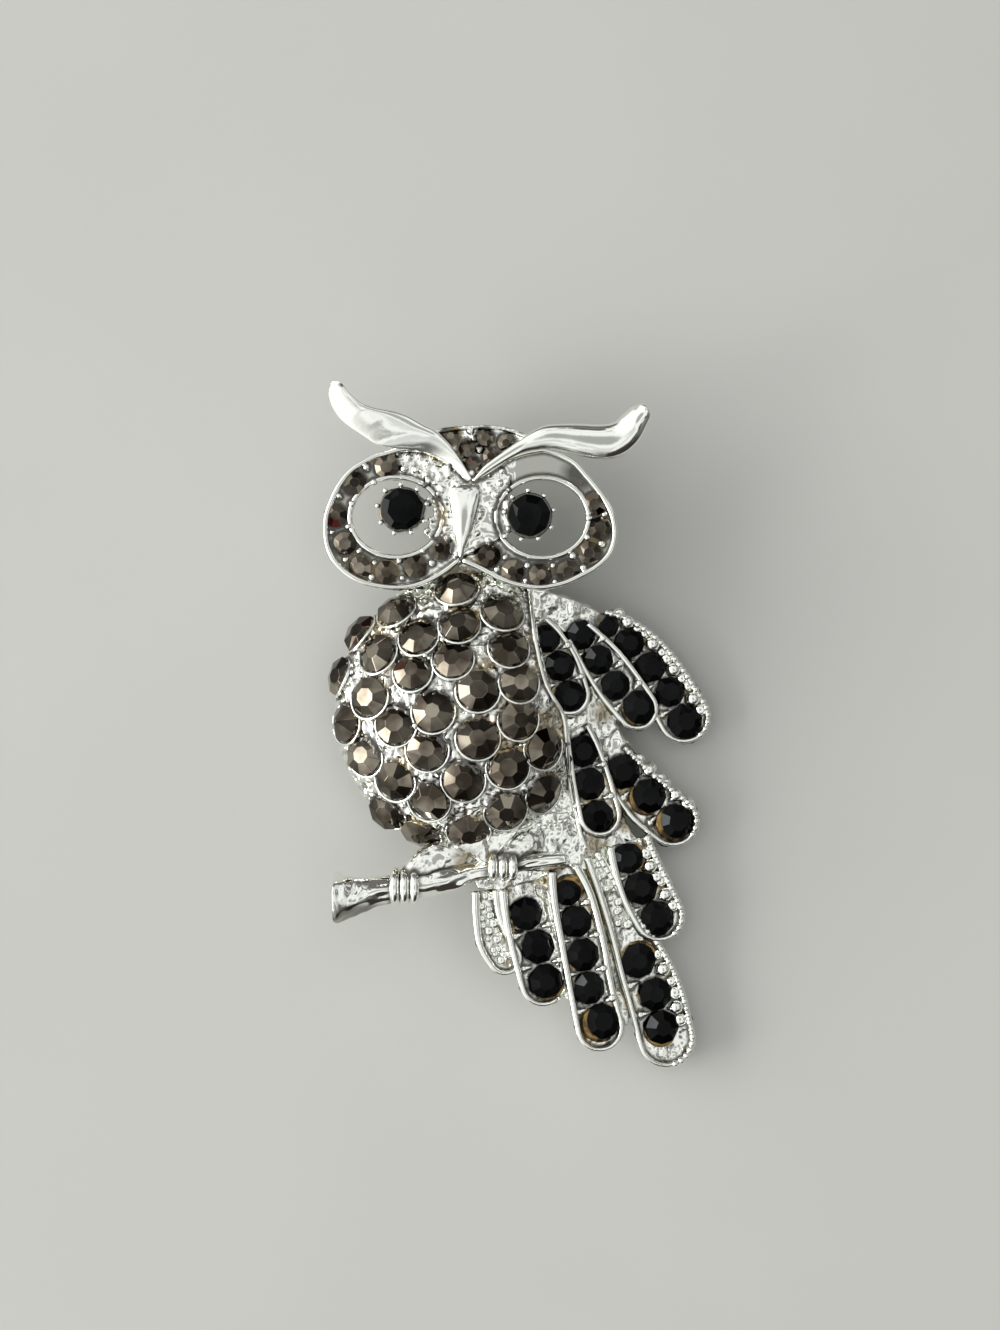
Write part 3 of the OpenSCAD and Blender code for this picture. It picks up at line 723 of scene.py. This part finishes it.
def feather(level, sections, stones, right_rim, root_width):
    """The bed of one feather, the rims and prongs on it, and drops of metal where its root has no stones.
    The rim is root_width times as wide at the root."""
    bed = PLATE_T + level * FEATHER_STEP
    plate = slab([feather_edges(sections)[0]], lambda x, y: bed + wing_base(x), lambda x, y: wing_base(x))
    forms, drops = [], []
    line, side = feather_edges(sections, RIM_R)
    path = [raised(p, wing_base(p.x) + bed + RIM_H - RIM_R) for p in line]
    beaded = right_rim == "beaded"
    turned = (len(path) - 1) / 2
    width = [RIM_R * (0.9 + (root_width - 1) * abs(i / turned - 1)) for i in range(len(path))]
    if right_rim == "none":
        path, width = path[side + 3:], width[side + 3:]
    forms.append(rod(path, width))
    forms.append(rod([p - Vector((0, 0, RIM_R)) for p in path], [w * 0.9 for w in width]))
    for p in flow([Vector(s) for s in sections], 6)[2::2]:
        spot = mm2(p)
        if stones and (spot - mm2(stones[0])).length < FEATHER_STONE_D * 0.8:
            break
        for sign in (-1, 1):
            aside = Vector((sign * random.uniform(0, 0.45) * p.z * HUNDREDTH, random.uniform(-0.3, 0.3), 0))
            drop = spot + aside
            drops.append(bead(raised(drop, wing_base(drop.x) + bed + 0.1), random.uniform(0.28, 0.55), 0.6))
    if beaded:
        run, steps = 0, 6
        for a, b in zip(path[:side + 5], path[1:]):
            for k in range(1, steps + 1):
                run += (b - a).length / steps
                if run > 0.62:
                    run = 0
                    forms.append(bead(raised(a.lerp(b, k / steps), 0.16), random.uniform(0.31, 0.36)))
    for (ax, ay, a_share), (bx, by, b_share) in zip(stones, stones[1:]):
        a, b = mm2((ax, ay)), mm2((bx, by))
        ahead = (b - a).normalized()
        out = Vector((-ahead.y, ahead.x, 0))
        middle = (a + b) / 2
        reach = FEATHER_STONE_D / 2 * (a_share + b_share) / 2
        for sign in (-1, 1):
            tip = middle + out * sign * reach * 0.62
            root = middle + out * sign * reach * 1.12
            height = wing_base(tip.x) + bed
            size = random.uniform(0.24, 0.34) + (0.3 if beaded and sign > 0 else 0)
            forms.append(bead(raised(root, height + 0.25), size + 0.08, 0.8))
            forms.append(rod([raised(root, height + 0.25), raised(tip, height + 0.3)], [size, 0.14], 6))
        if beaded:
            for step in (0.1, 0.5, 0.9):
                spot = a.lerp(b, step) + out * reach * 1.22
                nugget = raised(spot, wing_base(spot.x) + bed + 0.2)
                forms.append(bead(nugget, random.uniform(*NUGGET_R), 0.55))
    return plate, forms, drops


def back_plate(outline, top):
    """A plate that lies on the wing's back"""
    return slab([[mm2(p) for p in outline]], lambda x, y: wing_base(x) + top(y), lambda x, y: wing_base(x))


random.seed(23)
web = back_plate(WEB, lambda y: PLATE_T + 0.1)
shoulder = back_plate(SHOULDER, lambda y: PLATE_T + 0.25 + 0.14 * (y - 8))
tail_web = back_plate(TAIL_WEB, lambda y: PLATE_T)
for name, group, beds, root_width, amber in (("wing", FEATHERS[:5], [web, shoulder], 1.1, WING_AMBER),
                                             ("tail", FEATHERS[5:], [tail_web], 1.8, TAIL_AMBER)):
    rims, set_in, loose = [], [], []
    for level, sections, stones, right_rim in group:
        plate, forms, drops = feather(level, sections, stones, right_rim, root_width)
        beds.append(plate)
        rims += forms
        loose += drops
        for x, y, share in stones:
            spot = in_trough(mm2((x, y)), level)
            set_in.append(rod([spot, raised(spot, 0.6)], FEATHER_STONE_D / 2 * share, 16))
    cast(f"{name}_beds", beds, cast_metal, grain=0.13, pits=0.27, pit_size=0.9, pit_shade_offset=0.95,
         beside=rims + set_in, amber=amber)
    cast(f"{name}_rims", rims + loose, bright_metal)

# Black stones
# Glossy black glass stones, cut like the smoky ones, are glued in a row in each trough.
# On a few of them the facet towards the window carries a painted highlight.
# Its light grey glint colour is the painted highlight on the facet towards the window.
black = coated_glass("black_glass", (0.006, 0.007, 0.007, 1), (0.002, 0.0025, 0.0025, 1),
                     (0.24, 0.26, 0.27, 1), glint_from=0.95, metallic=0, roughness=0.03)
for number, (level, _, stones, _) in enumerate(FEATHERS, 1):
    places = []
    for x, y, share in stones:
        spot = raised(in_trough(mm2((x, y)), level), STONE_LIFT)
        places.append((spot, Vector((WING_SLOPE, 0, 1)).normalized(), share * 1.07))
    if places:
        cut_stone(f"black_stones_{number}", places, FEATHER_STONE_D, black,
                  f"feather_stones_{number}", table=0.52, crown=0.34, tilt=5, lit=0.2)

# Old glue
# Amber glue shows round a few of the feathers' stones, where too much was used to set them.
# It is smooth, and mottled from a dark brown to honey.
glue, tree, shader = new_material("amber_glue")
mottle = cloudy_tone(tree, 900, 0.42, 0.6, (0.045, 0.03, 0.012, 1), (0.36, 0.235, 0.085, 1))
feed(shader, {"Base Color": mottle, "Roughness": 0.12, "Metallic": 0.6})
# feather, stone, middle of the smear and half its spread in degrees, thickness (mm)
SMEARS = [(5, 3, 200, 75, 0.42), (5, 2, 215, 70, 0.34), (4, 3, 300, 60, 0.22), (6, 1, 10, 60, 0.26),
          (8, 1, 60, 85, 0.4), (8, 5, 215, 80, 0.42), (7, 1, 60, 60, 0.26), (2, 4, 240, 60, 0.28),
          (9, 3, 300, 60, 0.2), (7, 3, 250, 60, 0.25)]
smears = []
for which, stone, middle, spread, thick in SMEARS:
    level, _, stones, _ = FEATHERS[which - 1]
    x, y, share = stones[stone - 1]
    spot = mm2((x, y))
    path = []
    for k in range(13):
        a = radians(middle - spread + 2 * spread * k / 12)
        p = spot + Vector((cos(a), sin(a), 0)) * (FEATHER_STONE_D / 2 * share + 0.1)
        path.append(raised(in_trough(p, level), 0.02))
    smears.append(rod(path, [thick * (0.35 + 0.65 * sin(pi * k / 12)) for k in range(13)], 10))
cast("old_glue", smears, glue)

# Face
# Two pierced rings meet at the beak. Each is a channel for small stones between two rims,
# with the eye's cup held at the side of the beak by a pitted bridge.
FACE_BACK = 5.4
FACE_T = 2.0
FACE_TOP = FACE_BACK + FACE_T
RING_LEFT = [(-6.9, 36.3), (-9.3, 38.6), (-13, 40.6), (-16.5, 41), (-19.7, 40.2), (-21.6, 39.6),
             (-24.2, 38), (-26.1, 35.8), (-27.5, 32.9), (-28.2, 30.4), (-28.1, 27.2), (-27, 24.4),
             (-24.8, 22.2), (-22, 20.9), (-18.5, 20.3), (-15.3, 20.5), (-12.5, 21.5), (-10.2, 22.9),
             (-8.3, 24.4)]
RING_RIGHT = [(-8.3, 24.4), (-6.1, 23.4), (-4.2, 22.4), (-2, 21.3), (0.5, 20.6), (3.4, 20.3), (6.6, 20.9),
              (9.1, 22), (11.6, 23.4), (13.5, 25.3), (14.3, 27.6), (14.2, 30.1), (13.5, 32.3), (11.9, 34.8),
              (10, 37.1), (8, 39.2), (5, 40.6), (2.8, 40.8), (-1, 39.8), (-4.8, 37.4), (-6.9, 36.3)]
OPENINGS = [(-17.7, 30.8), (3.5, 30.7)]
OPENING_HALF = (6.4, 5.5)
EYES = [(-16.8, 31.9), (1.6, 31)]
EYE_STONE_D = 3.9
EYE_CUP_H = 0.7
MASK_STONES = [
    [(-19.1, 38.1), (-23.7, 35.7), (-26.5, 31), (-25.1, 27), (-22.9, 23.5), (-19.1, 22.8), (-14.9, 23.6),
     (-11.3, 26.3)],
    [(11.1, 32.7), (11.9, 29.2), (10.3, 25.6), (7.2, 22.9), (3.2, 22.4), (-0.8, 22.9), (-4.2, 25.2)]]
MASK_STONE_D = 2.2
OUTER_WIRE_R = 0.27
INNER_WIRE_R = 0.26
EYE_WALL = 0.14
PRONGS = 9
BRIDGE = [[(-13.5, 36.8), (-12.6, 35), (-12, 31.8), (-13.4, 28.4), (-11.6, 26.6), (-8.8, 25.4), (-7.4, 30),
           (-7, 37), (-10, 38.6)],
          [(-7.2, 37), (-7.4, 30), (-7.8, 25.4), (-4, 27), (-1.4, 28.2), (-1.6, 33), (-1, 36.6),
           (-3.6, 38.4)]]
LUMPS = [(-18.2, 38.7), (-17.3, 40), (-16.6, 38), (-15.8, 39.4), (-14.7, 37.8), (-14.3, 39.6),
         (-13.2, 38.5), (-12.2, 39.3), (-11.8, 37.6), (-10.4, 38.2)]


def seat(p, z, diameter, sides=14, tall=0.5):
    """The room that a stone takes up on the face"""
    return rod([at_height(p, z), at_height(p, z + tall)], diameter / 2, sides)


random.seed(5)
face, wires = [], []
for ring, opening, row, eye in zip((RING_LEFT, RING_RIGHT), OPENINGS, MASK_STONES, EYES):
    outline = flow([mm2(p) for p in ring], 4)
    centre, eye = mm2(opening), mm2(eye)
    across, along = [half * HUNDREDTH for half in OPENING_HALF]
    turns = [tau * k / 40 for k in range(40)]
    hole = [centre + Vector((across * cos(a), along * sin(a), 0)) for a in turns]
    face.append(slab([outline, hole], lambda x, y: FACE_TOP, lambda x, y: FACE_BACK))
    drawn_in = [p + (centre - p).normalized() * 0.22 for p in outline]
    wires.append(rod([raised(p, FACE_TOP + 0.28) for p in drawn_in], OUTER_WIRE_R))
    inner = [p + (p - centre).normalized() * 0.2 for p in hole]
    wires.append(rod([raised(p, FACE_TOP + 0.12) for p in inner + inner[:1]], INNER_WIRE_R))
    row = [mm2(p) for p in row]
    for a, b in zip(row, row[1:]):
        middle = (a + b) / 2
        out = Vector((b.y - a.y, a.x - b.x, 0)).normalized()
        for sign in (-1, 1):
            spot = middle + out * sign * random.uniform(0.62, 0.8)
            wires.append(bead(raised(spot, FACE_TOP + 0.18), random.uniform(0.24, 0.36)))
    cup = [raised(eye, FACE_BACK + 0.2), raised(eye, FACE_TOP + EYE_CUP_H)]
    face.append(rod(cup, EYE_STONE_D / 2 + EYE_WALL, 24))
    for k in range(PRONGS):
        a = radians(360 / PRONGS * k + 12)
        away = Vector((cos(a), sin(a), 0))
        root, tip = eye + away * 1.7, eye + away * 2.24
        wires.append(rod([raised(root, FACE_TOP + 0.35), raised(tip, FACE_TOP + 0.62)], 0.15, 6))
        wires.append(bead(raised(tip, FACE_TOP + 0.68), 0.25))
for side in BRIDGE:
    corners = [mm2(p) for p in side]
    face.append(slab([corners], lambda x, y: FACE_TOP + 0.35, lambda x, y: FACE_BACK + 0.1))
    for k in range(60):
        a, b = corners[random.randrange(len(corners))], corners[random.randrange(len(corners))]
        spot = a.lerp(b, random.random())
        face.append(bead(raised(spot, FACE_TOP + random.uniform(0.2, 0.4)), random.uniform(0.18, 0.34)))
for p in LUMPS:
    face.append(bead(at_height(p, FACE_TOP + 0.12), random.uniform(0.26, 0.42), 0.9))
seats = [seat(p, FACE_TOP, MASK_STONE_D) for row in MASK_STONES for p in row]
seats += [seat(p, FACE_TOP + EYE_CUP_H, EYE_STONE_D, 24, 0.4) for p in EYES]
# Painted shade darkens the upper right of the right ring, under the right tuft.
cast("face_rings", face, cast_metal, grain=0.115, pits=0.25, pit_size=0.8, beside=wires + seats,
     where=lambda p: 0.12 if not -19 < p.x / HUNDREDTH < -0.5 else 1 if p.x / HUNDREDTH < -8 else 0.6,
     dark_patch=lambda p: min(0.93, 1.7 - (p - at_height((9, 36.9), p.z)).length / HUNDREDTH / 2))
cast("face_rims", wires, bright_metal)

# Mask stones and eyes
# Small smoky stones are glued in the channel round each opening of the face. A large black
# stone sits in each eye's cup, inside a ring of small prongs with round heads.
random.seed(9)
for side, row in zip(("left", "right"), MASK_STONES):
    cut_stone(f"ring_stones_{side}", [(at_height(p, FACE_TOP + STONE_LIFT), UP, 1) for p in row],
              MASK_STONE_D, smoky, f"mask_stones_{side}", table=0.45, crown=0.34, tilt=12)
for side, p in zip(("left", "right"), EYES):
    cut_stone(f"eye_{side}", [(at_height(p, FACE_TOP + EYE_CUP_H + STONE_LIFT), UP, 1)], EYE_STONE_D,
              black, f"eye_stone_{side}", table=0.62, crown=0.28, tilt=2, lit=0.01)

# Brow tufts, crown and beak
# Two polished tufts sweep out from the beak like horns and lift at their tips. Between them
# lies a small crown with a wire rim and six dark stones. The beak is a narrow smooth wedge.
# upper edge, lower edge, where the ridge lies, and how fast the sides fall
TUFTS = {
    "left": ([(-6.6, 36.2), (-8, 38.6), (-9, 40.2), (-10.2, 41.8), (-11.8, 43.3), (-13.7, 44.3),
              (-15.6, 45.4), (-17.5, 46.1), (-19.4, 46.4), (-21.3, 46.8), (-22.9, 47.5), (-24.3, 48.7),
              (-25.2, 49.8)],
             [(-7.2, 35.9), (-9.3, 38), (-11.5, 39.4), (-13.7, 40.1), (-16.3, 40.5), (-18.9, 40.8),
              (-20.8, 41.4), (-22.7, 42.6), (-24.5, 43.8), (-25.9, 45), (-27, 46.7), (-27.4, 48.3),
              (-27.1, 49.7)], 0.14, 0.8),
    "right": ([(-6.6, 36.1), (-5.2, 38), (-3.6, 39.3), (-1.7, 40.7), (0.2, 42), (2.1, 43.3),
               (4, 44.1), (6.6, 44.3), (9.1, 44.3), (11.6, 44.2), (13.7, 44.5), (15, 45.6),
               (16.2, 46.6), (17.5, 47)],
              [(-6.4, 35.8), (-4.8, 36.9), (-2.9, 38.1), (-1, 39.2), (0.9, 40.1), (2.8, 40.4),
               (4.7, 40.5), (6.9, 40.1), (9.1, 39.5), (11.4, 39.1), (13.7, 39.1), (16, 40.1),
               (17.9, 42.1), (19.1, 44.9)], 0.45, 0.35)}
TUFT_ROOT_Z, TUFT_BEND_Z, TUFT_TIP_Z = 7.9, 8.3, 9.4
TUFT_BEND = 0.72
TUFT_CURL = 0.078


def tuft(upper, lower, ridge, fall):
    """A horn between its two edges, highest at a share of its width from the upper edge. A low fall is flat.
    Its tip is full and round."""
    tops, lows = flow([mm2(p) for p in upper], 4), flow([mm2(p) for p in lower], 4)
    rings, count = [], len(tops)
    for i, (a, b) in enumerate(zip(tops, lows)):
        t = i / (count - 1)
        tip_lift = (TUFT_TIP_Z - TUFT_BEND_Z) * max(0, t - TUFT_BEND) ** 2 / TUFT_CURL
        base = TUFT_ROOT_Z + (TUFT_BEND_Z - TUFT_ROOT_Z) * t + tip_lift
        wide = (a - b).length
        rise = min(0.95, 0.3 * wide) + 0.1
        ring = []
        for k in range(20):
            turn = tau * k / 20
            across = 0.5 - 0.5 * cos(turn)
            lift = sin(turn)
            if lift > 0:
                fuller = fall + (0.65 - fall) * min(1, max(0, (t - 0.76) / 0.16))
                lift = abs(sin(pi * across ** (log(0.5) / log(ridge)))) ** fuller
            lift *= rise if lift > 0 else 0.7 * rise
            ring.append(raised(a.lerp(b, across), base + lift))
        rings.append(ring)
    end = sum(rings[-1], Vector()) / 20
    ahead = (end - sum(rings[-3], Vector()) / 20).normalized()
    for shrink, step in ((0.8, 0.25), (0.4, 0.42)):
        rings.append([end + (p - end) * shrink + ahead * step for p in rings[count - 1]])
    return loft(rings)


def polished(piece, levels):
    """Rounds off the edges of a piece"""
    rounding = piece.modifiers.new("polish", "SUBSURF")
    rounding.levels = rounding.render_levels = levels


for side, edges in TUFTS.items():
    polished(cast(f"brow_tuft_{side}", [tuft(*edges)], polished_metal), 1)

CROWN = [(-13, 43.2), (-11.4, 43.4), (-9.2, 43.8), (-6.3, 44), (-3.4, 44), (-1.2, 43.6), (1.5, 42.5),
         (4, 41.2), (-6.6, 36)]
CROWN_STONES = [(-9.8, 42.5), (-7.4, 40.7), (-4.8, 42.3), (-1.8, 41.6), (-3.9, 39.7), (-6.5, 38.3)]
CROWN_STONE_D = 1.6
CROWN_WIRE_R = 0.22
crown = [slab([[mm2(p) for p in CROWN]], lambda x, y: FACE_TOP, lambda x, y: FACE_BACK + 0.3)]
brim = flow([mm2(p) for p in CROWN[:-1]], 4)
crown.append(rod([p + Vector((0, -0.1, FACE_TOP + 0.25)) for p in brim], CROWN_WIRE_R))
for k in range(26):
    spot = mm2((random.uniform(-10, 0), random.uniform(37.5, 43.2)))
    if all((spot - mm2(p)).length > CROWN_STONE_D / 2 + 0.1 for p in CROWN_STONES):
        crown.append(bead(raised(spot, FACE_TOP + 0.15), random.uniform(0.2, 0.34)))
cast("crown", crown, cast_metal, grain=0.1, pits=0.1, pit_size=0.4,
     beside=[seat(p, FACE_TOP, CROWN_STONE_D) for p in CROWN_STONES])
cut_stone("crown_set", [(at_height(p, FACE_TOP + STONE_LIFT), UP, 1) for p in CROWN_STONES],
          CROWN_STONE_D, smoky, "crown_stones", table=0.45, crown=0.34, tilt=10)

# x, y, half width and height
BEAK = [(-7.7, 35.6, 2, 0.35), (-7.7, 34.4, 2.6, 0.75), (-7.8, 31.4, 2.2, 1), (-8, 28.6, 1.5, 0.95),
        (-8.2, 26.4, 0.7, 0.7), (-8.3, 24.9, 0.35, 0.35)]
BEAK_PROFILE = ((-1, -1), (-1, 0.3), (-0.78, 0.75), (-0.3, 0.98), (0.3, 1), (0.78, 0.75), (1, 0.3), (1, -1))
sections = flow([Vector((x, y, w)) for x, y, w, h in BEAK], 4)
heights = flow([Vector((h, 0, 0)) for x, y, w, h in BEAK], 4)
rings = []
for s, h in zip(sections, heights):
    middle = at_height((s.x, s.y), FACE_TOP + 0.3)
    wide = s.z * HUNDREDTH
    rings.append([middle + Vector((wide * across, 0, h.x * up)) for across, up in BEAK_PROFILE])
polished(cast("beak", [loft(rings)], polished_metal), 2)

# Branch, legs and feet
# The owl's smooth trousers fall on a short branch with a flared, hollow end. Three toes
# of each foot wrap it like bands. The bark has long grooves.
BRANCH_Z = 6.4
# x, y and radius of the branch, from the flared end
BRANCH = [(-26.9, -24.6, 3.5), (-26.4, -24.6, 3.65), (-25.6, -24.5, 3.5), (-24, -24.3, 2.9),
          (-21.3, -23.8, 2.3), (-18.4, -23.3, 2), (-14.6, -22.5, 1.95), (-11.6, -22.2, 1.9),
          (-8.8, -21.6, 1.75), (-6.5, -21, 1.25), (-2.6, -20.3, 1.3), (1, -19.4, 1.15),
          (4.2, -19, 1.05), (7.2, -18.9, 0.95)]
BARK_SIDES = 28
FEET = [(-16.5, -22.9, 2.9), (-2.2, -20, 2.2)]
TOE_R = 0.43
TOE_STEP = 0.8
# x, y, half width and height of the middle; each is a flattened ball, run together into a drape
LEGS = [[(-4.5, -17.6, 2.2, 5.6), (-7.6, -18, 2.6, 5.9), (-10.8, -18.6, 2.8, 6.2), (-13.6, -19.7, 2.3, 6.6),
         (-15.8, -21, 1.5, 7)],
        [(2.6, -15.2, 2, 5.3), (1.6, -16, 2.3, 5.6), (0.6, -17, 2.3, 6), (-0.6, -18, 2, 6.4),
         (-1.8, -19.2, 1.6, 6.9)]]
APRON = [(0.3, -12.2), (7.6, -12.2), (10.2, -17.6), (9, -20.2), (3, -20.8), (-3, -20.4), (-9, -17)]
line = flow([Vector(s) for s in BRANCH], 4)
rings = []
for s in line:
    middle = at_height((s.x, s.y), BRANCH_Z)
    ring = []
    for k in range(BARK_SIDES):
        a = tau * k / BARK_SIDES
        groove = (1 + 0.05 * sin(5 * a + 0.6 * s.x)
                  + 0.17 * noise.noise(Vector((s.x * 0.75, 1.9 * cos(a), 1.9 * sin(a)))))
        ring.append(middle + Vector((0, cos(a), sin(a))) * s.z * HUNDREDTH * groove)
    rings.append(ring)
mouth = sum(rings[0], Vector()) / BARK_SIDES
for shrink, deep in ((0.84, 0.02), (0.72, 0.35), (0.6, 1.1), (0.2, 1.5)):
    rings.insert(0, [mouth + (p - mouth) * shrink + Vector((deep, 0, 0)) for p in rings[-len(line)]])
toes, legs = [], []
for x, y, r in FEET:
    around = r * HUNDREDTH - 0.36
    for toe in (-1, 0, 1):
        middle = at_height((x, y), BRANCH_Z) + Vector((toe * TOE_STEP, 0, 0))
        path = []
        for k in range(17):
            a = radians(-60 + 300 * k / 16)
            path.append(middle + Vector((0.12 * sin(a) * toe, cos(a) * around, sin(a) * around)))
        toes.append(rod(path, [TOE_R * (0.75 + 0.25 * sin(pi * k / 16)) for k in range(17)], 12))
# The flared end is painted with shade along its lower side.
branch = cast("branch", [loft(rings)], bright_metal, beside=toes,
              dark_patch=lambda p: (min(0.85, max(0, (-25.0 - p.y / HUNDREDTH) * 1.1))
                               if p.x < -19 * HUNDREDTH else 0))
polished(branch, 1)
for leg in LEGS:
    path = flow([at_height((x, y), z) for x, y, r, z in leg], 4)
    radii = [v.x for v in flow([Vector((r * HUNDREDTH, 0, 0)) for x, y, r, z in leg], 4)]
    legs += [bead(point, radius, 0.62) for point, radius in zip(path, radii)]
apron = back_plate(APRON, lambda y: 1.9)
cast("legs", legs + [apron], cast_metal, grain=0.12, pits=0.22, pit_size=0.9, soften=4, pit_shade_offset=0.9,
     beside=toes + [loft(rings)], where=lambda p: 1 if p.x > 2 * HUNDREDTH else 0.5,
     amber=[((-7.8, -19), 1.5), ((5.4, -20.6), 1.6)])
# A row of small drops of metal lies below the belly.
for k in range(9):
    drop = mm2((0.9 + 0.76 * k, -13.2 - 0.9 * sin(pi * k / 8) + random.uniform(-0.2, 0.2)))
    toes.append(bead(raised(drop, wing_base(drop.x) + 1.95), random.uniform(0.2, 0.3)))
cast("toes", toes, bright_metal)

# Clasp
# The hidden pin back: two blocks soldered to the back, with a straight pin stem across them.
# It stays as it is modelled, in the same plating as the casting.
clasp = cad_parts["clasp"]
clasp.data.materials.clear()
clasp.data.materials.append(bright_metal)
